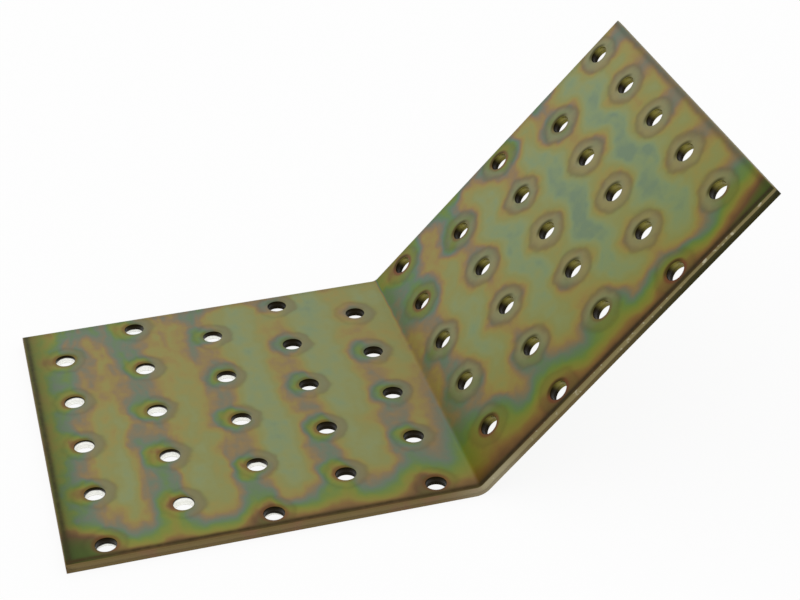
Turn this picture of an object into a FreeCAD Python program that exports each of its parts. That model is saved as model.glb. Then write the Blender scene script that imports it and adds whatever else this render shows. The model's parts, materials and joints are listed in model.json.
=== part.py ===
import FreeCAD, Part
import math
import os

# Sheet blank and fold, in millimetres and degrees
base_length = 100.0  # flat blank from the fold line to the end of the base leg
raised_length = 100.0  # flat blank from the fold line to the end of the raised leg
plate_width = 100.0
sheet = 2.5
fold_angle = 45.0  # how far the raised leg is folded up out of the flat
inside_radius = 2.5
neutral_share = 0.4  # depth of the unstretched layer under the inner skin, as a share of the sheet

# Nail holes, punched in the flat blank before it is folded
hole_diameter = 5.0
hole_pitch = 20.0  # along the blank and across it
column_stagger = 10.0  # shift across the width from one column to the next

# Round that the shear leaves along the outline of the inner skin
edge_rollover = 0.4

# Slack in counting and in comparing places, and how far a punch reaches past the sheet
count_slack = 0.001
same_place = 0.001
punch_reach = 1.0

# The origin lies on the underside of the base leg, where its flat ends and the fold starts, at mid-width.
# The base leg runs to -X, the raised leg to +X and up, and the fold turns about an axis along Y.
across = FreeCAD.Vector(0, 1, 0)
outside_radius = inside_radius + sheet
fold_centre = FreeCAD.Vector(0, 0, outside_radius)
fold_stock = math.radians(fold_angle) * (inside_radius + neutral_share * sheet)
base_flat = base_length - fold_stock / 2
raised_flat = raised_length - fold_stock / 2


def folded(angle):
    """Turn about the fold axis that lifts what lies at +X."""
    return FreeCAD.Placement(FreeCAD.Vector(), FreeCAD.Rotation(across, -angle), fold_centre)


base_place = folded(0)
raised_place = folded(fold_angle)


def section_point(place, run, height):
    """Point of the section, by its run along a leg from the fold and its height above the outer skin."""
    return place.multVec(FreeCAD.Vector(run, -plate_width / 2, height))


def skin(height):
    """One skin of the sheet in section: base leg, fold and raised leg."""
    base_end = section_point(base_place, -base_flat, height)
    fold_start = section_point(base_place, 0, height)
    fold_middle = section_point(folded(fold_angle / 2), 0, height)
    fold_end = section_point(raised_place, 0, height)
    raised_end = section_point(raised_place, raised_flat, height)
    return [
        Part.LineSegment(base_end, fold_start).toShape(),
        Part.Arc(fold_start, fold_middle, fold_end).toShape(),
        Part.LineSegment(fold_end, raised_end).toShape(),
    ]


def leg_end(place, run):
    """The cut end of a leg in section."""
    outer = section_point(place, run, 0)
    inner = section_point(place, run, sheet)
    return Part.LineSegment(outer, inner).toShape()


def folded_strip():
    """The folded sheet with sharp edges and no holes."""
    ends = [leg_end(base_place, -base_flat), leg_end(raised_place, raised_flat)]
    section = Part.Wire(Part.__sortEdges__(skin(0) + skin(sheet) + ends))
    return Part.Face(section).extrude(across * plate_width)


def rolled_over(strip):
    """Round the outline of the inner skin, where the shear blade drew the sheet in."""
    inner_skin = Part.Wire(skin(sheet)).extrude(across * plate_width)
    outline = Part.Shell(inner_skin.Faces).getFreeEdges()
    rim = []
    for edge in strip.Edges:
        middle = edge.valueAt((edge.FirstParameter + edge.LastParameter) / 2)
        if outline.distToShape(Part.Vertex(middle))[0] < same_place:
            rim.append(edge)
    return strip.makeFillet(edge_rollover, rim)


def fits(length):
    """How many holes at the pitch fit in a length, with half a pitch left over at each end."""
    return int(length / hole_pitch + count_slack)


def leg_punches(place, leg_length, side):
    """Punches through one leg. Side is -1 for the base leg and 1 for the raised leg."""
    punches = []
    rows = fits(plate_width)
    first_row = -(rows - 1) / 2 * hole_pitch
    for column in range(fits(leg_length)):
        run = side * ((column + 0.5) * hole_pitch - fold_stock / 2)
        shift = side * (-1) ** column * column_stagger / 2
        for row in range(rows):
            foot = FreeCAD.Vector(run, first_row + row * hole_pitch + shift, -punch_reach)
            punch = Part.makeCylinder(hole_diameter / 2, sheet + 2 * punch_reach, foot)
            punch.Placement = place.multiply(punch.Placement)
            punches.append(punch)
    return punches


def joining_plate():
    """The folded and punched plate."""
    blank = rolled_over(folded_strip())
    punches = leg_punches(base_place, base_length, -1) + leg_punches(raised_place, raised_length, 1)
    return blank.cut(Part.makeCompound(punches)).Solids[0]


os.makedirs("parts", exist_ok=True)
plate = joining_plate()
plate.exportStep("parts/joining_plate.step")
print("joining_plate", plate.isValid(), round(plate.Volume, 1), plate.BoundBox)
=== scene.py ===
import bpy
import json
import math
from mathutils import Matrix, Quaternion
from mathutils import Vector


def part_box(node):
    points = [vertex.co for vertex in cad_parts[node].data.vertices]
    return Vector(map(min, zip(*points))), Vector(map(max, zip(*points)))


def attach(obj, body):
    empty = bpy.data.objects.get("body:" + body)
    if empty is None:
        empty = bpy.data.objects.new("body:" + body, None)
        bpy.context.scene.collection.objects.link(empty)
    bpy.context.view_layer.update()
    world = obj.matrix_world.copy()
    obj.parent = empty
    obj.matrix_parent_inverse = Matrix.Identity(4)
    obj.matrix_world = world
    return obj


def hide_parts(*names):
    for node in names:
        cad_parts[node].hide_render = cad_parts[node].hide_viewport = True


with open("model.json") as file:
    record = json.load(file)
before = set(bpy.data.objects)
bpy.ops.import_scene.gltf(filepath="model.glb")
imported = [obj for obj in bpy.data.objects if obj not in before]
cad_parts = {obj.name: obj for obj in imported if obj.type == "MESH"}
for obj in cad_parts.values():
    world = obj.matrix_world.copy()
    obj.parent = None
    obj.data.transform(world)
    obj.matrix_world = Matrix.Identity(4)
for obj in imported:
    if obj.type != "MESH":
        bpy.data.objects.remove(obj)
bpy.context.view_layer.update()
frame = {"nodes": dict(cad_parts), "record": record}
print("frame loaded:", sorted(frame["nodes"]))


# Wiring: node sockets that add and multiply as numbers do

class Wire:  # one output of a node
    def __init__(self, tree, socket):
        self.tree = tree
        self.socket = socket

    def other(self, name):  # another output of the same node
        return Wire(self.tree, self.socket.node.outputs[name])

    def __add__(self, value):
        return calc("ADD", self, value)

    def __radd__(self, value):
        return calc("ADD", value, self)

    def __sub__(self, value):
        return calc("SUBTRACT", self, value)

    def __rsub__(self, value):
        return calc("SUBTRACT", value, self)

    def __mul__(self, value):
        return calc("MULTIPLY", self, value)

    def __rmul__(self, value):
        return calc("MULTIPLY", value, self)

    def __truediv__(self, value):
        return calc("DIVIDE", self, value)

    def __neg__(self):
        return calc("MULTIPLY", self, -1.0)


def plug(slot, value):  # link a wire, or set a plain value
    if isinstance(value, Wire):
        value.tree.links.new(value.socket, slot)
    else:
        slot.default_value = value


def put(tree, kind, feeds=None, **settings):  # a node, set and fed, as the wire of its first output
    node = tree.nodes.new(kind)
    for name, value in settings.items():
        setattr(node, name, value)
    for name, value in (feeds or {}).items():
        plug(node.inputs[name], value)
    return Wire(tree, node.outputs[0])


def calc(operation, *values):
    tree = next(value.tree for value in values if isinstance(value, Wire))
    return put(tree, "ShaderNodeMath", dict(enumerate(values)), operation=operation)


def limit(value, low, high):
    return calc("MINIMUM", calc("MAXIMUM", value, low), high)


def pick(flag, yes, no):  # flag 1 gives yes, flag 0 gives no
    return no + flag * (yes - no)


def rise(value, low, high):  # soft step from 0 at low to 1 at high
    feeds = {"Value": value, "From Min": low, "From Max": high}
    return put(value.tree, "ShaderNodeMapRange", feeds, interpolation_type="SMOOTHSTEP")


def bell(value, middle, width):  # 1 in the middle, falling off on both sides
    offset = (value - middle) / width
    return calc("EXPONENT", -(offset * offset))


def joinXyz(tree, x, y, z):
    return put(tree, "ShaderNodeCombineXYZ", {"X": x, "Y": y, "Z": z})


def splitXyz(vector):
    parts = put(vector.tree, "ShaderNodeSeparateXYZ", {"Vector": vector})
    return parts, parts.other("Y"), parts.other("Z")


def srgb(red, green, blue):  # a colour as a screen shows it, in 0 to 255, made linear
    shares = [value / 255 for value in (red, green, blue)]
    linear = [s / 12.92 if s <= 0.04045 else ((s + 0.055) / 1.055) ** 2.4 for s in shares]
    return (*linear, 1.0)


# Plate: one blank, punched in the flat and folded once

cadLow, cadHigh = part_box("joining_plate")
mounts = {mount["name"]: mount for mount in frame["record"]["mounts"]}
raisedAxis = mounts["raised_inner_face"]["axis"]
nailHoles = mounts["base_nails_c1_r1"]["dims"]
millimetre = 0.001

plateSizes = {  # metres and radians
    "Sheet": mounts["base_inner_face"]["pos_m"][2],
    "Width": cadHigh.y - cadLow.y,
    "Base Length": 0.1,
    "Raised Length": 0.1,
    "Fold Angle": math.atan2(-raisedAxis[0], raisedAxis[2]),
    "Inside Radius": 0.0025,
    "Neutral Share": 0.4,  # depth of the unstretched layer under the inner skin
    "Hole Diameter": 2 * nailHoles["hole_r_mm"] * millimetre,
    "Hole Pitch": nailHoles["pcd_mm"] * millimetre / math.sqrt(8),  # the nail square is two pitches wide
    "Column Stagger": 0.01,
    "Columns": 10,
    "Rows": 5,
    "Dish Radius": 0.0042,  # how far the punch drew the skin in around a hole
    "Dish Depth": 0.00006,
    "Edge Roll": 0.0004,
    "Mouth Roll": 0.0002,
    "Flat Margin": 0.0002,  # flat strip that keeps the roll out of the wide faces
    "Burnished Share": 0.55,  # of the cut's depth, before the steel tore
    "Ragged Share": 0.1,  # how much that depth wanders
    "Tear": 0.00006,  # how far the torn part of the cut stands back
    "Exit Round": 0.00006,
    "Hole Segments": 44,
    "Edge Segments": 40,
    "Fold Segments": 16,
}
foldMargin = 2  # flat columns of faces on each side of the fold
mergeGap = 1e-6

# How far along a cut a point lies, which the finish reads too
cutMarks = {"skin": 0.0, "rolled": 1.0, "burnished": 2.0, "torn": 3.0, "outer": 4.0}
cutSteps = {
    "dishShares": (0.65, 0.3, 0.0),  # rows of points down the dish, from its rim to the roll
    "rollSteps": 5,
    "wallTop": 1.15,  # where the straight wall starts, in rolls
    "tearStep": (0.4, 0.5),  # first step back below the burnish, and how far below, in tears
    "exitTop": 1.5,  # where the exit starts, in exit rounds above the outer skin
    "exitSteps": 2,
    "exitFlat": 2.0,  # flat rim beside the exit, in exit rounds
    "markGap": 0.1,  # between a mark and the rows just before and after it
    "raggedBends": 420.0,  # to the metre
    "raggedDetail": 2.0,
}


def cutProfile(size, start, roll, dish, ragged):  # gap to the cut face, drop under the inner skin, and mark
    sheet = size["Sheet"]
    tear = size["Tear"]
    exitRound = size["Exit Round"]
    markGap = cutSteps["markGap"]
    rows = []
    for share in cutSteps["dishShares"]:
        rows.append((roll + (start - roll) * share, dish * (1 - share) ** 2, cutMarks["skin"]))
    for step in range(1, cutSteps["rollSteps"] + 1):
        share = step / cutSteps["rollSteps"]
        turn = math.pi / 2 * share
        drop = dish + roll * (1 - math.cos(turn))
        rows.append((roll * (1 - math.sin(turn)), drop, cutMarks["rolled"] * share))
    burnishEnd = sheet * (size["Burnished Share"] + ragged * size["Ragged Share"])
    stepBack, stepDown = cutSteps["tearStep"]
    rows.append((0.0, dish + roll * cutSteps["wallTop"], cutMarks["rolled"] + markGap))
    rows.append((0.0, burnishEnd, cutMarks["burnished"] - markGap))
    rows.append((tear * stepBack, burnishEnd + tear * stepDown, cutMarks["burnished"] + markGap))
    rows.append((tear, sheet - exitRound * cutSteps["exitTop"], cutMarks["torn"] - markGap))
    for step in range(cutSteps["exitSteps"] + 1):
        share = step / cutSteps["exitSteps"]
        turn = math.pi / 2 * share
        drop = sheet - exitRound * (1 - math.sin(turn))
        rows.append((tear + exitRound * (1 - math.cos(turn)), drop, cutMarks["torn"] + share))
    rows.append((tear + exitRound * cutSteps["exitFlat"], sheet, cutMarks["outer"]))
    rows.append((start, sheet, cutMarks["outer"]))
    return rows


def storeValue(geometry, name, value, selection=True):
    feeds = {"Geometry": geometry, "Selection": selection, "Name": name, "Value": value}
    return put(geometry.tree, "GeometryNodeStoreNamedAttribute", feeds, data_type="FLOAT", domain="POINT")


def storedValue(tree, name):
    return put(tree, "GeometryNodeInputNamedAttribute", {"Name": name}, data_type="FLOAT")


def joined(tree, *pieces):
    joint = tree.nodes.new("GeometryNodeJoinGeometry")
    for piece in pieces:
        plug(joint.inputs[0], piece)
    return Wire(tree, joint.outputs[0])


def merged(geometry):
    return put(geometry.tree, "GeometryNodeMergeByDistance", {"Geometry": geometry, "Distance": mergeGap})


def holeLattice(tree, size):
    pitch = size["Hole Pitch"]
    feeds = {"Size X": pitch * (size["Columns"] - 1), "Size Y": pitch * (size["Rows"] - 1),
             "Vertices X": size["Columns"], "Vertices Y": size["Rows"]}
    grid = put(tree, "GeometryNodeMeshGrid", feeds)
    along = splitXyz(put(tree, "GeometryNodeInputPosition"))[0]
    side = calc("COSINE", (along / pitch - 0.5) * math.pi)  # 1 and -1 by turns, column by column
    shift = joinXyz(tree, 0.0, side * size["Column Stagger"] / 2, 0.0)
    return put(tree, "GeometryNodeSetPosition", {"Geometry": grid, "Offset": shift})


def legOutline(tree, size, side, length, inset, stripWidth):  # up to the strip that is folded
    width = length - inset - stripWidth / 2
    outline = put(tree, "GeometryNodeCurvePrimitiveQuadrilateral",
                  {"Width": width, "Height": size["Width"] - 2 * inset})
    outline = put(tree, "GeometryNodeSubdivideCurve", {"Curve": outline, "Cuts": size["Edge Segments"] - 1})
    middle = joinXyz(tree, side * (width + stripWidth) / 2, 0.0, 0.0)
    return put(tree, "GeometryNodeTransform", {"Geometry": outline, "Translation": middle})


def flatSkin(tree, size, lattice, inset, foldStock):
    fold = size["Fold Segments"]
    stripWidth = foldStock * (fold + 2 * foldMargin) / fold
    base = legOutline(tree, size, -1, size["Base Length"], inset, stripWidth)
    raised = legOutline(tree, size, 1, size["Raised Length"], inset, stripWidth)
    ring = put(tree, "GeometryNodeCurvePrimitiveCircle",
               {"Resolution": size["Hole Segments"], "Radius": size["Dish Radius"]})
    rings = put(tree, "GeometryNodeInstanceOnPoints", {"Points": lattice, "Instance": ring})
    rings = put(tree, "GeometryNodeRealizeInstances", {"Geometry": rings})
    outlines = joined(tree, base, raised, rings)
    legs = put(tree, "GeometryNodeFillCurve", {"Curve": outlines}, mode="TRIANGLES")
    strip = put(tree, "GeometryNodeMeshGrid",
                {"Size X": stripWidth, "Size Y": size["Width"] - 2 * inset,
                 "Vertices X": fold + (2 * foldMargin + 1), "Vertices Y": size["Edge Segments"] + 1})
    return merged(joined(tree, legs, strip))


def markEdges(tree, size, skin, lattice, inset):  # the way from each point of a rim to its cut face
    position = put(tree, "GeometryNodeInputPosition")
    along, across = splitXyz(position)[:2]
    nearest = put(tree, "GeometryNodeSampleNearest", {"Geometry": lattice})
    centre = put(tree, "GeometryNodeSampleIndex",
                 {"Geometry": lattice, "Value": position, "Index": nearest}, data_type="FLOAT_VECTOR")
    holeAlong, holeAcross = splitXyz(centre)[:2]
    goAlong = holeAlong - along
    goAcross = holeAcross - across
    distance = calc("SQRT", goAlong * goAlong + goAcross * goAcross)
    atHole = calc("LESS_THAN", distance, size["Dish Radius"] + mergeGap)
    slack = inset / 2
    atRaisedEnd = calc("GREATER_THAN", along, size["Raised Length"] - inset - slack)
    atBaseEnd = calc("LESS_THAN", along, inset + slack - size["Base Length"])
    atBack = calc("GREATER_THAN", across, size["Width"] / 2 - inset - slack)
    atFront = calc("LESS_THAN", across, inset + slack - size["Width"] / 2)
    marks = {
        "layAlong": along,
        "layAcross": across,
        "goAlong": pick(atHole, goAlong / distance, atRaisedEnd - atBaseEnd),
        "goAcross": pick(atHole, goAcross / distance, atBack - atFront),
        "goStart": pick(atHole, size["Dish Radius"] - size["Hole Diameter"] / 2, inset),
        "goRoll": pick(atHole, size["Mouth Roll"], size["Edge Roll"]),
        "goDish": atHole * size["Dish Depth"],
        "cut": cutMarks["skin"],
    }
    for name, value in marks.items():
        skin = storeValue(skin, name, value)
    return skin


def cutEdges(tree, size, skin):  # grows the hole walls and the outline from the rims of the inner skin
    layAlong = storedValue(tree, "layAlong")
    layAcross = storedValue(tree, "layAcross")
    start = storedValue(tree, "goStart")
    feeds = {"Vector": joinXyz(tree, layAlong, layAcross, 0.0),
             "Scale": cutSteps["raggedBends"], "Detail": cutSteps["raggedDetail"]}
    ragged = put(tree, "ShaderNodeTexNoise", feeds) * 2 - 1
    rows = cutProfile(size, start, storedValue(tree, "goRoll"), storedValue(tree, "goDish"), ragged)
    faces = put(tree, "GeometryNodeInputMeshEdgeNeighbors")
    rim = calc("LESS_THAN", faces, 2)  # an edge with a face on one side only
    top = joinXyz(tree, 0.0, 0.0, size["Sheet"])
    shell = put(tree, "GeometryNodeSetPosition", {"Geometry": skin, "Offset": top})
    for gap, drop, mark in rows:
        shell = put(tree, "GeometryNodeExtrudeMesh",
                    {"Mesh": shell, "Selection": rim, "Offset Scale": 0.0}, mode="EDGES")
        rim = shell.other("Top")
        reach = start - gap
        place = joinXyz(tree, layAlong + storedValue(tree, "goAlong") * reach,
                        layAcross + storedValue(tree, "goAcross") * reach, size["Sheet"] - drop)
        feeds = {"Geometry": shell, "Selection": rim, "Position": place}
        shell = put(tree, "GeometryNodeSetPosition", feeds)
        shell = storeValue(shell, "cut", mark, rim)
    under = put(tree, "GeometryNodeFlipFaces", {"Mesh": storeValue(skin, "cut", cutMarks["outer"])})
    return merged(joined(tree, shell, under))


def foldUp(tree, size, blank, foldStock):  # keeps each point's place on the blank, then bends the blank
    position = put(tree, "GeometryNodeInputPosition")
    along, across, height = splitXyz(position)
    place = put(tree, "ShaderNodeVectorMath", {0: position, "Scale": 1 / millimetre}, operation="SCALE")
    feeds = {"Geometry": blank, "Name": "blank", "Value": place}
    blank = put(tree, "GeometryNodeStoreNamedAttribute", feeds, data_type="FLOAT_VECTOR", domain="POINT")
    half = foldStock / 2
    outside = size["Inside Radius"] + size["Sheet"]
    turn = limit((along + half) / foldStock, 0.0, 1.0) * size["Fold Angle"]
    run = along - limit(along, -half, half)
    depth = height - outside
    x = run * calc("COSINE", turn) - depth * calc("SINE", turn)
    z = run * calc("SINE", turn) + depth * calc("COSINE", turn) + outside
    feeds = {"Geometry": blank, "Position": joinXyz(tree, x, across, z)}
    return put(tree, "GeometryNodeSetPosition", feeds)


def plateTree(sizes):
    tree = bpy.data.node_groups.new("punchedFoldedPlate", "GeometryNodeTree")
    for name, value in sizes.items():
        kind = "NodeSocketInt" if isinstance(value, int) else "NodeSocketFloat"
        tree.interface.new_socket(name, in_out="INPUT", socket_type=kind)
    tree.interface.new_socket("Finish", in_out="INPUT", socket_type="NodeSocketMaterial")
    tree.interface.new_socket("Plate", in_out="OUTPUT", socket_type="NodeSocketGeometry")
    entry = tree.nodes.new("NodeGroupInput")
    size = {name: Wire(tree, entry.outputs[name]) for name in sizes}
    inset = size["Edge Roll"] + size["Flat Margin"]
    foldStock = size["Fold Angle"] * (size["Inside Radius"] + size["Neutral Share"] * size["Sheet"])
    lattice = holeLattice(tree, size)
    skin = flatSkin(tree, size, lattice, inset, foldStock)
    skin = markEdges(tree, size, skin, lattice, inset)
    plate = foldUp(tree, size, cutEdges(tree, size, skin), foldStock)
    for pattern in ("lay*", "go*"):  # only the finish's own marks stay on the mesh
        plate = put(tree, "GeometryNodeRemoveAttribute", {"Geometry": plate, "Name": pattern},
                    pattern_mode="WILDCARD")
    plate = put(tree, "GeometryNodeSetShadeSmooth", {"Geometry": plate})
    plate = put(tree, "GeometryNodeRealizeInstances", {"Geometry": plate})
    plate = put(tree, "GeometryNodeSetMaterial",
                {"Geometry": plate, "Material": Wire(tree, entry.outputs["Finish"])})
    plug(tree.nodes.new("NodeGroupOutput").inputs[0], plate)
    return tree


def makePlate(sizes, finish):
    tree = plateTree(sizes)
    plate = bpy.data.objects.new("foldedPlate", bpy.data.meshes.new("foldedPlate"))
    bpy.context.scene.collection.objects.link(plate)
    modifier = plate.modifiers.new("punchAndFold", "NODES")
    modifier.node_group = tree
    for socket in tree.interface.items_tree:
        if socket.in_out == "INPUT":
            modifier[socket.identifier] = finish if socket.name == "Finish" else sizes[socket.name]
    graph = bpy.context.evaluated_depsgraph_get()
    ready = plate.evaluated_get(graph)
    mesh = bpy.data.meshes.new_from_object(ready, preserve_all_data_layers=True, depsgraph=graph)
    plate.modifiers.remove(modifier)
    plate.data = mesh
    return plate


# Finish: zinc under a yellow passivate film, whose depth shows as bands of tint

def tintRamp(tree, value, tints):
    ramp = put(tree, "ShaderNodeValToRGB", {"Fac": value})
    stops = ramp.socket.node.color_ramp.elements
    while len(stops) < len(tints):
        stops.new(0.5)  # its place comes next
    for stop, (place, colour) in zip(stops, tints):
        stop.position = place
        stop.color = srgb(*colour)
    return ramp


def cloudNoise(spot, size, seed, detail=2.0):
    feeds = {"Vector": spot, "W": seed, "Scale": 1 / size, "Detail": detail}
    return put(spot.tree, "ShaderNodeTexNoise", feeds, noise_dimensions="4D")


def drift(noise):  # noise about zero, from -1 to 1 at most
    return noise * 2 - 1


def blendTint(share, under, over):
    mixer = share.tree.nodes.new("ShaderNodeMix")
    mixer.data_type = "RGBA"
    plug(mixer.inputs[0], share)
    for slot, colour in ((6, under), (7, over)):  # its colours come after its numbers and vectors
        plug(mixer.inputs[slot], colour if isinstance(colour, Wire) else srgb(*colour))
    return Wire(share.tree, mixer.outputs[2])


def darken(colour, share):  # share 1 leaves the colour alone
    return put(colour.tree, "ShaderNodeVectorMath", {0: colour, "Scale": share}, operation="SCALE")


def shaded(colour, share, warmth):  # takes more of the blue than of the rest
    left = joinXyz(colour.tree, 1 - share, 1 - share, 1 - share * warmth)
    return put(colour.tree, "ShaderNodeVectorMath", {0: colour, 1: left}, operation="MULTIPLY")


def nearestHole(u, v, sizes):  # distance to its middle, and that distance along and across the blank
    pitch = sizes["Hole Pitch"] / millimetre
    shift = sizes["Column Stagger"] / millimetre / 2
    lastRow = (sizes["Rows"] - 1) / 2
    found = []
    for side in (1, -1):
        along = calc("WRAP", u - side * pitch / 2, pitch, -pitch)
        row = limit(calc("ROUND", (v - side * shift) / pitch), -lastRow, lastRow)
        across = v - side * shift - row * pitch
        found.append((calc("SQRT", along * along + across * across), along, across))
    (distanceA, alongA, acrossA), (distanceB, alongB, acrossB) = found
    first = calc("LESS_THAN", distanceA, distanceB)
    return calc("MINIMUM", distanceA, distanceB), pick(first, alongA, alongB), pick(first, acrossA, acrossB)


def gather(depth, share):  # deepens a film, up to the deepest there is
    return depth + share * (1 - depth)


def atEdge(distance, share, reach, slope):  # film that gathers at an edge, with a soft shoulder
    inside = calc("MAXIMUM", distance, 0.0)
    return calc("EXPONENT", -calc("POWER", inside / reach, slope)) * share


def atCorner(fromEnd, fromFront, share, reach, slope):
    return atEdge(calc("SQRT", fromEnd * fromEnd + fromFront * fromFront), share, reach, slope)


# Film on the base leg: ridges along the columns, and a heap beside each hole

baseFilm = {  # film depth as a share of the deepest film
    "backLevels": (0.42, 0.12),  # film midway between the columns of holes, at the free end and at the fold
    "backStep": (-66.0, -40.0),  # where the one gives way to the other
    "frontLevels": (0.0, 0.28),
    "ridge": 0.56,  # film along a column
    "ridgeReach": 5.4,
    "ridgeSlope": 3.0,
    "ridgeLean": 3.0,  # the ridge lies on the end side of the holes
    "ridgeStart": (-90.0, -78.0),  # the first column has no ridge of its own
    "heap": 0.66,  # and how much deeper again beside a hole
    "heapSpan": (1.3, 7.0),
    "heapLean": (1.6, 0.8),
    "thinning": 0.78,  # both lose depth towards the back of the fold
    "haze": 0.13,  # evens out the tints of this leg
    "hazeTint": (123, 122, 83),
}


def baseDepth(u, v, sizes, leg):
    length = sizes["Base Length"] / millimetre
    pitch = sizes["Hole Pitch"] / millimetre
    fromEnd = limit(u / length + 1, 0.0, 1.0)  # 0 at the end of the leg, 1 at the fold
    fromFront = v / (sizes["Width"] / millimetre) + 0.5
    hold = 1 - fromEnd * fromFront * leg["thinning"]
    offColumn = calc("WRAP", u + leg["ridgeLean"] + pitch / 2, pitch / 2, -pitch / 2)
    ridgeShare = rise(u, *leg["ridgeStart"])
    ridge = atEdge(calc("ABSOLUTE", offColumn), ridgeShare, leg["ridgeReach"], leg["ridgeSlope"])
    leanU, leanV = leg["heapLean"]
    distance = nearestHole(u + leanU, v - leanV, sizes)[0]
    heap = (1 - rise(distance, *leg["heapSpan"])) * leg["heap"]
    backFree, backFold = leg["backLevels"]
    frontFree, frontFold = leg["frontLevels"]
    back = pick(rise(u, *leg["backStep"]), backFold, backFree)
    front = pick(fromEnd, frontFold, frontFree)
    level = pick(fromFront, back, front)
    return gather(level + (leg["ridge"] - level) * ridge * hold, heap * hold)


# Film on the raised leg: chains of holes with pinched saddles between them

raisedFilm = {
    "level": 0.05,
    "gain": 0.47,  # how much deeper it is at a hole
    "columnGrip": 1.1,  # how tightly it gathers on a column
    "holeGrip": 0.3,  # and on each hole of it
    "spread": 2.2,  # a wide spread leaves only a narrow valley midway
    "palest": 60.0,  # where along the leg the film is thinnest
    "bow": 0.16,  # and how much deeper it is this far away
    "bowReach": 40.0,
    "backGain": 0.3,  # the chains grow deeper towards the back edge
    "backLevel": (12.0, 50.0, 0.2),  # and so does what lies between them
    "backEnd": (62.0, 92.0, 0.75),  # but less so near the free end
    # painted shade: the raised leg is made darker towards its front and just past the fold
    "frontShade": 0.2,
    "foldShade": (0.24, 6.0),
    "warmth": 2.1,  # how much more blue than red the shade there takes
}


def backHold(u, leg):
    low, high, loss = leg["backEnd"]
    return 1 - rise(u, low, high) * loss


def raisedDepth(u, v, sizes, leg):
    pitch = sizes["Hole Pitch"] / millimetre
    shift = sizes["Column Stagger"] / millimetre / 2
    total = 0.0
    for side in (1, -1):
        turnU = calc("COSINE", (u - side * pitch / 2) * (math.pi / pitch)) - 1
        turnV = calc("COSINE", (v - side * shift) * (2 * math.pi / pitch)) - 1
        total = calc("EXPONENT", turnU * leg["columnGrip"] + turnV * leg["holeGrip"]) + total
    saddle = math.exp(-2 * leg["holeGrip"])
    midway = math.exp(-leg["columnGrip"]) * (1 + saddle)
    highest = 1 + math.exp(-2 * leg["columnGrip"]) * saddle
    heap = calc("MAXIMUM", (total - midway) / (highest - midway), 0.0)
    chain = (1 - calc("EXPONENT", heap * -leg["spread"])) * (leg["gain"] / (1 - math.exp(-leg["spread"])))
    bow = calc("MAXIMUM", leg["palest"] - u, 0.0) / leg["bowReach"]
    hold = backHold(u, leg)
    chain = chain * (1 + rise(v, 0.0, sizes["Width"] / millimetre / 2) * hold * leg["backGain"])
    backLow, backHigh, backRise = leg["backLevel"]
    level = rise(v, backLow, backHigh) * hold * backRise + leg["level"]
    return gather(level + bow * bow * leg["bow"], chain)


# Film on the whole blank: both legs, unevenness, and what gathers at the edges

filmLook = {
    "seed": 2.0,
    "wander": (3.0, 24.0),  # how far the bands stray, and the size of their bends
    "ripple": (1.5, 6.0),
    "clouds": (0.17, 16.0),  # how much the depth drifts, and the size of the patches
    "fray": (0.1, 4.0),
    "cloudDetail": 3.0,
    "streaks": (0.26, 4.0, 0.3),  # the same along the drain of the bath, with the stretch of the streaks
    "streakLoss": (-100.0, 0.0, 0.6),  # they fade from the end of the base leg to the fold, by this much
    "edgeSlope": 1.6,  # how sharply a film ends that gathers at an edge
    "baseFront": (0.9, 9.3),  # how deep it is at the edge, and how far it reaches in
    "raisedFront": (0.92, 18.0, 9.5),  # its reach at the fold, and at the free end
    "back": (0.32, 4.2),
    "backPatches": (4.0, 0.5),  # how sharply it breaks up there, and its share midway
    "baseEnd": (0.76, 10.5),
    "baseEndLevel": 0.92,
    "raisedEnd": (0.46, 4.6),
    "baseCorner": (1.0, 11.5, 5.0),  # how deep it is at the front corner, its reach, and its slope
    "raisedCorner": (0.97, 11.4, 2.6),
    "fold": (0.55, 8.0),
    "crease": (-0.6, 1.0),  # where the look of one leg gives way to that of the other
}


def stray(spot, look):  # how far a point of the film pattern is carried off, along and across the blank
    shiftU = 0.0
    shiftV = 0.0
    for reach, size in (look["wander"], look["ripple"]):
        noiseU, noiseV = splitXyz(cloudNoise(spot, size, look["seed"]).other("Color"))[:2]
        shiftU = drift(noiseU) * reach + shiftU
        shiftV = drift(noiseV) * reach + shiftV
    return shiftU, shiftV


def mottle(u, v, h, spot, look):  # uneven depth: patches, fine fray, and streaks across the blank
    total = 0.0
    for reach, size in (look["clouds"], look["fray"]):
        total = drift(cloudNoise(spot, size, look["seed"] + 1, look["cloudDetail"])) * reach + total
    reach, size, stretch = look["streaks"]
    drawn = joinXyz(u.tree, u, v * stretch, h)
    lossFrom, lossTo, loss = look["streakLoss"]
    calm = 1 - rise(u, lossFrom, lossTo) * loss
    return drift(cloudNoise(drawn, size, look["seed"] + 2)) * calm * reach + total


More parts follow.
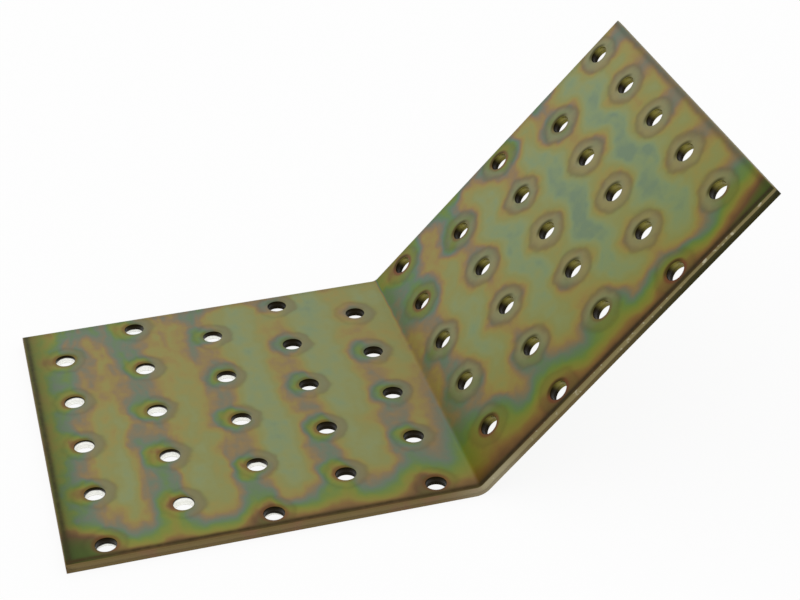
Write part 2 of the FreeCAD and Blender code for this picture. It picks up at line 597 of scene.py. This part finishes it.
def filmDepth(u, v, h, spot, sizes, onRaised, look):
    halfWidth = sizes["Width"] / millimetre / 2
    raisedLength = sizes["Raised Length"] / millimetre
    slope = look["edgeSlope"]
    shiftU, shiftV = stray(spot, look)
    u = u + shiftU
    v = v + shiftV
    fromBaseEnd = u + sizes["Base Length"] / millimetre
    fromRaisedEnd = raisedLength - u
    fromFront = v + halfWidth
    uneven = mottle(u, v, h, spot, look)
    depth = pick(onRaised, raisedDepth(u, v, sizes, raisedFilm), baseDepth(u, v, sizes, baseFilm)) + uneven
    frontSide = 0.5 - v / (2 * halfWidth)
    atFold = atEdge(calc("ABSOLUTE", u), *look["fold"], slope)
    depth = gather(depth, atFold * frontSide * (1 - onRaised))
    baseShare, baseReach = look["baseFront"]
    raisedShare, foldReach, endReach = look["raisedFront"]
    raisedReach = pick(limit(u / raisedLength, 0.0, 1.0), endReach, foldReach)
    frontShare = pick(onRaised, raisedShare, baseShare)
    depth = gather(depth, atEdge(fromFront, frontShare, pick(onRaised, raisedReach, baseReach), slope))
    breakUp, middling = look["backPatches"]
    patchy = limit(uneven * breakUp + middling, 0.0, 1.0)
    depth = gather(depth, atEdge(halfWidth - v, *look["back"], slope) * patchy * backHold(u, raisedFilm))
    atBaseEnd = atEdge(fromBaseEnd, *look["baseEnd"], slope)
    depth = gather(depth, atBaseEnd * (uneven + look["baseEndLevel"]))
    depth = gather(depth, atCorner(fromBaseEnd, fromFront, *look["baseCorner"]))
    depth = gather(depth, atCorner(fromRaisedEnd, fromFront, *look["raisedCorner"]))
    return gather(depth, atEdge(fromRaisedEnd, *look["raisedEnd"], slope))


# Pads: where the punch pressed the skin around a hole

padLook = {
    "radius": 5.9,
    "softness": 0.8,
    "pinch": 0.1,  # makes the pad a diamond
    "stretch": 0.12,  # and draws it out along the column
    "shrink": 1.13,  # how much smaller it is on the base leg
    "wobble": (1.6, 5.0),  # how far its rim strays, and the size of the bends
    "innerRadius": 3.6,
    "raisedTints": ((132, 129, 88), (112, 105, 75)),  # beside the hole, and at the rim of the pad
    "baseTints": ((114, 113, 85), (116, 110, 80)),
    "shares": (0.8, 0.72),  # on the base leg, and on the raised one
    "bareSide": (-2.0, 3.0),  # the base leg shows it only on the side of the fold
    "deepFilm": (0.5, 0.78),  # a film as deep as this hides most of the pad
    "deepTint": (98, 92, 44),
    "deepLoss": 0.6,
    "ringDull": 0.11,  # dull ring along the rim of the pad
    "ringWidth": 0.75,
    "lipRing": (2.9, 4.0),  # thin red ring under a deep film, right beside the hole
    "lipRingTint": (106, 56, 36),
    "lipRingShares": (0.45, 0.8),
    "lip": (2.9, 3.9),  # painted shade: dark lip at the back of a hole
    "lipShadeSide": (0.1, 0.8),  # round the hole, from its sides to its back
    "lipShadeTint": (56, 52, 14),
    "lipShadeShares": (0.2, 0.85),
}


def padDistance(distance, along, across, onRaised, look):  # the same all along the rim of a diamond
    corner = calc("ABSOLUTE", along * across) / distance
    diamond = distance + corner * look["pinch"] - calc("ABSOLUTE", across) * look["stretch"]
    return diamond * pick(onRaised, 1.0, look["shrink"])


def padTint(tint, film, hole, rimward, onRaised, look):  # pressed pad, red ring, and painted shade at the back lip of the hole
    distance, along, across = hole
    deep = rise(film, *look["deepFilm"])
    outward = rise(rimward, look["innerRadius"], look["radius"])
    basePad = blendTint(outward, *look["baseTints"])
    raisedPad = blendTint(outward, *look["raisedTints"])
    pad = blendTint(deep, blendTint(onRaised, basePad, raisedPad), look["deepTint"])
    onPad = 1 - rise(rimward, look["radius"] - look["softness"], look["radius"] + look["softness"])
    baseShare, raisedShare = look["shares"]
    share = pick(onRaised, raisedShare, rise(along, *look["bareSide"]) * baseShare)
    tint = blendTint(onPad * share * (1 - deep * look["deepLoss"]), tint, pad)
    baseRing, raisedRing = look["lipRingShares"]
    onRing = (1 - rise(distance, *look["lipRing"])) * deep
    tint = blendTint(onRing * pick(onRaised, raisedRing, baseRing), tint, look["lipRingTint"])
    baseLip, raisedLip = look["lipShadeShares"]
    onLipShade = (1 - rise(distance, *look["lip"])) * rise(across / distance, *look["lipShadeSide"])
    return blendTint(onLipShade * pick(onRaised, raisedLip, baseLip), tint, look["lipShadeTint"])


# Rim: painted shade, a dark line just inside the outline, much darker at the front than at the back

rimLook = {
    "middle": 1.0,
    "width": 0.85,
    "uneven": 0.3,
    "frontTints": ((58, 45, 17), (42, 32, 9)),  # front and back, on the base leg and on the raised one
    "endTint": (50, 47, 20),  # both free ends
    "frontShare": 0.92,
    "backShare": 0.12,
    "endShare": 0.85,
    "farShare": 0.36,  # at the end of the raised leg
    "endDarkening": (0.42, 5.5),  # darker strip at the end of the base leg
}


def rimTint(tint, u, v, grain, onRaised, sizes, look):
    halfWidth = sizes["Width"] / millimetre / 2
    toEnd = u + sizes["Base Length"] / millimetre
    uneven = 1 + grain * look["uneven"]
    frontTint = blendTint(onRaised, *look["frontTints"])
    sides = (
        (halfWidth - v, look["backShare"], frontTint),
        (sizes["Raised Length"] / millimetre - u, look["farShare"], look["endTint"]),
        (toEnd, look["endShare"], look["endTint"]),
        (v + halfWidth, look["frontShare"], frontTint),
    )
    darkShare, reach = look["endDarkening"]
    tint = darken(tint, 1 - bell(toEnd, 0.0, reach) * darkShare)
    # painted shade along the rolled rim of each side
    for inside, share, colour in sides:
        tint = blendTint(bell(inside, look["middle"], look["width"]) * uneven * share, tint, colour)
    return tint


# Cuts: hole walls and sheared edges, placed by how far along the cut they lie, with painted light, shade,
# glints and reflection

cutLook = {
    "rolledTints": ((111, 95, 61), (126, 115, 80)),  # on the base leg, and on the raised one
    "rolledTo": (0.9, 1.15),
    "burnishedTints": ((117, 101, 65), (134, 122, 83)),
    "tornTints": ((114, 98, 63), (56, 53, 23)),  # on the base leg, and at the end of the raised one
    "tornFrom": (1.85, 1.2),
    "darkTear": (25.0, 75.0),  # where along the raised leg the torn band turns dark
    "softness": 0.3,
    "ruddyTint": (124, 92, 70),  # patches along the base leg
    "ruddyPatches": (6.0, 5.0, 0.45, 0.65, 0.6),  # size, seed, where the noise shows them, and share
    "glintTint": (204, 198, 172),  # painted glints, pale specks along the raised leg
    "glints": (1.6, 6.0, 0.58, 0.72, 0.6),
    "foldHighlight": (0.3, 4.0, 9.0),  # painted highlight: the edge is brightest just past the fold
    "shadedWallTint": (30, 24, 10),  # painted shade: the dark side of the wall inside a hole
    "wallTo": (3.0, 3.4),  # from the middle of the hole
    # painted light: the side of the hole wall that faces the light
    "litWallTint": (132, 124, 58),
    "litFrom": (-0.5, 0.5),  # where the painted light takes over, round the wall from the side of the fold to that of the free end
    # painted reflection: near-white on the lower hole wall, as of the white floor seen through it
    "glareTint": (254, 254, 248),
    "glareFrom": (1.35, 3.2),  # painted reflection: near-white from this far down the cut, at the end of the base leg, and from the fold on
    "glareColumns": (-65.0, -20.0),
    "glareRows": (33.0, 45.0, 0.9),  # the outermost holes show less of it
    "glareDrift": (22.0, 9.0, -0.8),  # size, seed and reach of the change from hole to hole
    "exitFrom": (2.9, 3.1),
}


def patches(spot, size, seed, low, high, share):
    return rise(cloudNoise(spot, size, seed), low, high) * share


def sheared(u, cut, spot, onRaised, look):
    upper = rise(u, *look["darkTear"])
    burnished = blendTint(onRaised, *look["burnishedTints"])
    baseTorn, raisedTorn = look["tornFrom"]
    tornFrom = pick(upper, raisedTorn, baseTorn)
    onTorn = rise(cut, tornFrom, tornFrom + look["softness"])
    edge = blendTint(1 - rise(cut, *look["rolledTo"]), burnished, blendTint(onRaised, *look["rolledTints"]))
    edge = blendTint(onTorn, edge, blendTint(upper, *look["tornTints"]))
    edge = blendTint(patches(spot, *look["ruddyPatches"]) * (1 - onRaised), edge, look["ruddyTint"])
    # painted glints along the raised leg, and a painted highlight on the edge just past the fold
    glow, glowMiddle, glowWidth = look["foldHighlight"]
    glint = patches(spot, *look["glints"]) * (1 - onTorn) * onRaised
    return blendTint(glint + bell(u, glowMiddle, glowWidth) * glow, edge, look["glintTint"])


def holeWall(u, v, cut, hole, onRaised, look):
    distance, along = hole[:2]
    # painted light and shade on the hole wall, by which side of the hole it lies on
    lit = rise(along / distance, *look["litFrom"]) * onRaised
    wall = blendTint(lit, look["shadedWallTint"], look["litWallTint"])
    # painted reflection, near-white, on the lower part of the wall
    glareEnd, glareFold = look["glareFrom"]
    glareFrom = pick(rise(u, *look["glareColumns"]), glareFold, glareEnd)
    outer, outermost, hidden = look["glareRows"]
    glareFrom = glareFrom + rise(calc("ABSOLUTE", v), outer, outermost) * hidden
    size, seed, reach = look["glareDrift"]
    glareFrom = glareFrom + drift(cloudNoise(joinXyz(u.tree, u, v, 0.0), size, seed)) * reach
    wall = blendTint(rise(cut, glareFrom, glareFrom + look["softness"]), wall, look["glareTint"])
    return blendTint(rise(cut, *look["exitFrom"]), wall, blendTint(onRaised, *look["burnishedTints"]))


def cutTint(u, v, cut, hole, onRaised, look):
    distance = hole[0]
    edge = sheared(u, cut, joinXyz(u.tree, u, cut, distance), onRaised, look)
    wall = holeWall(u, v, cut, hole, onRaised, look)
    return blendTint(1 - rise(distance, *look["wallTo"]), edge, wall)


# The finished surface

filmTints = (  # from a thin film to a thick one
    (0.00, (108, 126, 103)),
    (0.09, (121, 136, 100)),
    (0.18, (130, 136, 90)),
    (0.26, (131, 132, 80)),
    (0.33, (139, 130, 73)),
    (0.39, (140, 121, 70)),
    (0.44, (133, 111, 79)),
    (0.49, (117, 109, 91)),
    (0.55, (98, 113, 98)),
    (0.61, (92, 118, 84)),
    (0.67, (100, 123, 61)),
    (0.74, (118, 125, 52)),
    (0.81, (129, 120, 53)),
    (0.87, (124, 94, 52)),
    (0.93, (99, 70, 46)),
    (1.00, (63, 85, 28)),
)
surfaceLook = {
    "skinGap": 16,  # keeps the patterns of the two skins apart
    "grain": (1.4, 7.0, 3.0),  # size, seed and detail
    "filmGrain": 0.05,
    "cutGrain": 0.15,
    "creaseShade": (-0.3, 0.9, 0.14),  # painted shade in the crease: dark line along the fold, with its middle, width and depth
    "cutFrom": (0.05, 0.6),
    "cutTo": (3.4, 3.95),
    "tornFrom": (1.9, 2.1),
    "tornTo": (2.9, 3.3),
    "roughness": 0.42,
    "grainRoughness": 0.05,
    "tornRoughness": 0.2,
    "pits": (0.35, 8.0),  # size and seed
    "pitHeights": (0.4, 2.0),  # on the skin, and how much more on the torn cut
    "bumpStrength": 0.25,
    "bumpDistance": 0.00002,
}


def filmTint(u, v, spot, film, hole, grain, onRaised, sizes):
    tint = tintRamp(u.tree, film, filmTints)
    tint = blendTint((1 - onRaised) * baseFilm["haze"], tint, baseFilm["hazeTint"])
    wobble, wobbleSize = padLook["wobble"]
    uneven = drift(cloudNoise(spot, wobbleSize, filmLook["seed"] + 3)) * wobble
    rimward = padDistance(*hole, onRaised, padLook) + uneven
    tint = padTint(tint, film, hole, rimward, onRaised, padLook)
    frontSide = 0.5 - v / (sizes["Width"] / millimetre)
    # painted shade on the raised leg, darker towards the front and beside the fold, the blue taking more of
    # it
    foldShade, foldReach = raisedFilm["foldShade"]
    darkShare = frontSide * frontSide * raisedFilm["frontShade"] + bell(u, 0.0, foldReach) * foldShade
    tint = shaded(tint, darkShare * onRaised, raisedFilm["warmth"])
    ring = bell(rimward, padLook["radius"], padLook["ringWidth"]) * padLook["ringDull"]
    middle, width, dark = surfaceLook["creaseShade"]
    tint = darken(tint, 1 + grain * surfaceLook["filmGrain"] - ring - bell(u, middle, width) * dark)
    return rimTint(tint, u, v, grain, onRaised, sizes, rimLook)


def passivatedSteel(sizes, look):
    finish = bpy.data.materials.new("passivatedSteel")
    finish.use_nodes = True
    tree = finish.node_tree
    shader = tree.nodes["Principled BSDF"]
    shader.inputs["Metallic"].default_value = 1.0
    blank = put(tree, "ShaderNodeAttribute", attribute_name="blank").other("Vector")
    cut = put(tree, "ShaderNodeAttribute", attribute_name="cut").other("Fac")
    u, v, h = splitXyz(blank)  # millimetres from the fold along the blank, across it, and up
    h = h * look["skinGap"]
    spot = joinXyz(tree, u, v, h)
    onRaised = rise(u, *filmLook["crease"])
    film = filmDepth(u, v, h, spot, sizes, onRaised, filmLook)
    hole = nearestHole(u, v, sizes)
    grain = drift(cloudNoise(spot, *look["grain"]))
    tint = filmTint(u, v, spot, film, hole, grain, onRaised, sizes)
    edge = darken(cutTint(u, v, cut, hole, onRaised, cutLook), 1 + grain * look["cutGrain"])
    onCut = rise(cut, *look["cutFrom"]) * (1 - rise(cut, *look["cutTo"]))
    plug(shader.inputs["Base Color"], blendTint(onCut, tint, edge))
    torn = rise(cut, *look["tornFrom"]) * (1 - rise(cut, *look["tornTo"]))
    roughness = look["roughness"] + grain * look["grainRoughness"] + torn * look["tornRoughness"]
    plug(shader.inputs["Roughness"], roughness)
    skinHeight, tornHeight = look["pitHeights"]
    height = drift(cloudNoise(spot, *look["pits"])) * (skinHeight + torn * tornHeight)
    feeds = {"Height": height, "Strength": look["bumpStrength"], "Distance": look["bumpDistance"]}
    plug(shader.inputs["Normal"], put(tree, "ShaderNodeBump", feeds))
    return finish


finish = passivatedSteel(plateSizes, surfaceLook)
print("finish mixed:", len(finish.node_tree.nodes), "nodes")
plate = makePlate(plateSizes, finish)
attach(plate, "root")
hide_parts("joining_plate")
print("plate made:", len(plate.data.vertices), "points,", len(plate.data.polygons), "faces")


# Studio: pale floor, white surroundings and two soft lamps

studio = {
    "floorSize": 6.0,
    "floorDrop": 0.00005,  # under the seat, so that the two faces don't flicker
    "floorGrey": 0.9,
    "floorGlow": 0.9,  # share of the floor that is plain white, the rest takes the shadow
    "roomLight": 0.95,
}
lamps = {
    "backSoftbox": {"place": (-0.35, 0.9, 0.7), "aim": (0.0, 0.0, 0.03), "size": 0.9, "power": 0.55},
    "frontSoftbox": {"place": (-0.2, -0.9, 0.9), "aim": (0.0, 0.0, 0.03), "size": 0.9, "power": 0.3},
}


def greyTint(level):
    return (level, level, level, 1.0)


def seenRays(tree):  # rays that show the background as it is
    rays = put(tree, "ShaderNodeLightPath")
    seen = calc("MAXIMUM", rays.other("Is Camera Ray"), rays.other("Is Glossy Ray"))
    return calc("MAXIMUM", seen, rays.other("Is Transmission Ray"))


def makeFloor(size, drop, grey, glow):
    half = size / 2
    corners = [(-half, -half, -drop), (half, -half, -drop), (half, half, -drop), (-half, half, -drop)]
    mesh = bpy.data.meshes.new("floor")
    mesh.from_pydata(corners, [], [(0, 1, 2, 3)])
    floor = bpy.data.objects.new("floor", mesh)
    bpy.context.scene.collection.objects.link(floor)
    paper = bpy.data.materials.new("whitePaper")
    paper.use_nodes = True
    tree = paper.node_tree
    tree.nodes.clear()
    matt = put(tree, "ShaderNodeBsdfDiffuse", {"Color": greyTint(grey)})
    white = put(tree, "ShaderNodeEmission", {"Color": greyTint(1.0), "Strength": 1.0})
    mixer = put(tree, "ShaderNodeMixShader", {0: seenRays(tree) * glow, 1: matt, 2: white})
    plug(tree.nodes.new("ShaderNodeOutputMaterial").inputs["Surface"], mixer)
    mesh.materials.append(paper)


def lightRoom(level):
    world = bpy.data.worlds.new("whiteRoom")
    bpy.context.scene.world = world
    world.use_nodes = True
    tree = world.node_tree
    tree.nodes.clear()
    dim = put(tree, "ShaderNodeBackground", {"Color": greyTint(1.0), "Strength": level})
    white = put(tree, "ShaderNodeBackground", {"Color": greyTint(1.0), "Strength": 1.0})
    mixer = put(tree, "ShaderNodeMixShader", {0: seenRays(tree), 1: dim, 2: white})
    plug(tree.nodes.new("ShaderNodeOutputWorld").inputs["Surface"], mixer)


def hangLamp(name, lamp):
    light = bpy.data.lights.new(name, "AREA")
    light.shape = "SQUARE"
    light.size = lamp["size"]
    light.energy = lamp["power"]
    holder = bpy.data.objects.new(name, light)
    holder.location = lamp["place"]
    direction = Vector(lamp["aim"]) - Vector(lamp["place"])
    holder.rotation_euler = direction.to_track_quat("-Z", "Y").to_euler()
    bpy.context.scene.collection.objects.link(holder)


makeFloor(studio["floorSize"], studio["floorDrop"], studio["floorGrey"], studio["floorGlow"])
lightRoom(studio["roomLight"])
for lampName, lamp in lamps.items():
    hangLamp(lampName, lamp)
print("studio set: floor, room and", len(lamps), "lamps")


# Camera: where the photographer stood

view = {  # metres, degrees and millimetres
    "place": (-0.10642, -0.38963, 0.27949),
    "azimuth": -14.623,
    "elevation": 32.09,
    "roll": -1.413,
    "lens": 83.86,
    "sensor": 36.0,
    "nearest": 0.01,
}


def setCamera(view):
    azimuth = math.radians(view["azimuth"])
    elevation = math.radians(view["elevation"])
    level = math.cos(elevation)
    back = Vector((math.sin(azimuth) * level, -math.cos(azimuth) * level, math.sin(elevation)))
    lens = bpy.data.cameras.new("camera")
    lens.lens = view["lens"]
    lens.sensor_width = view["sensor"]
    lens.clip_start = view["nearest"]
    camera = bpy.data.objects.new("camera", lens)
    camera.location = view["place"]
    camera.rotation_mode = "QUATERNION"
    roll = Quaternion((0.0, 0.0, 1.0), math.radians(view["roll"]))
    camera.rotation_quaternion = (-back).to_track_quat("-Z", "Y") @ roll
    bpy.context.scene.collection.objects.link(camera)
    bpy.context.scene.camera = camera


setCamera(view)
bpy.context.scene.view_settings.view_transform = "Standard"
print("camera set")
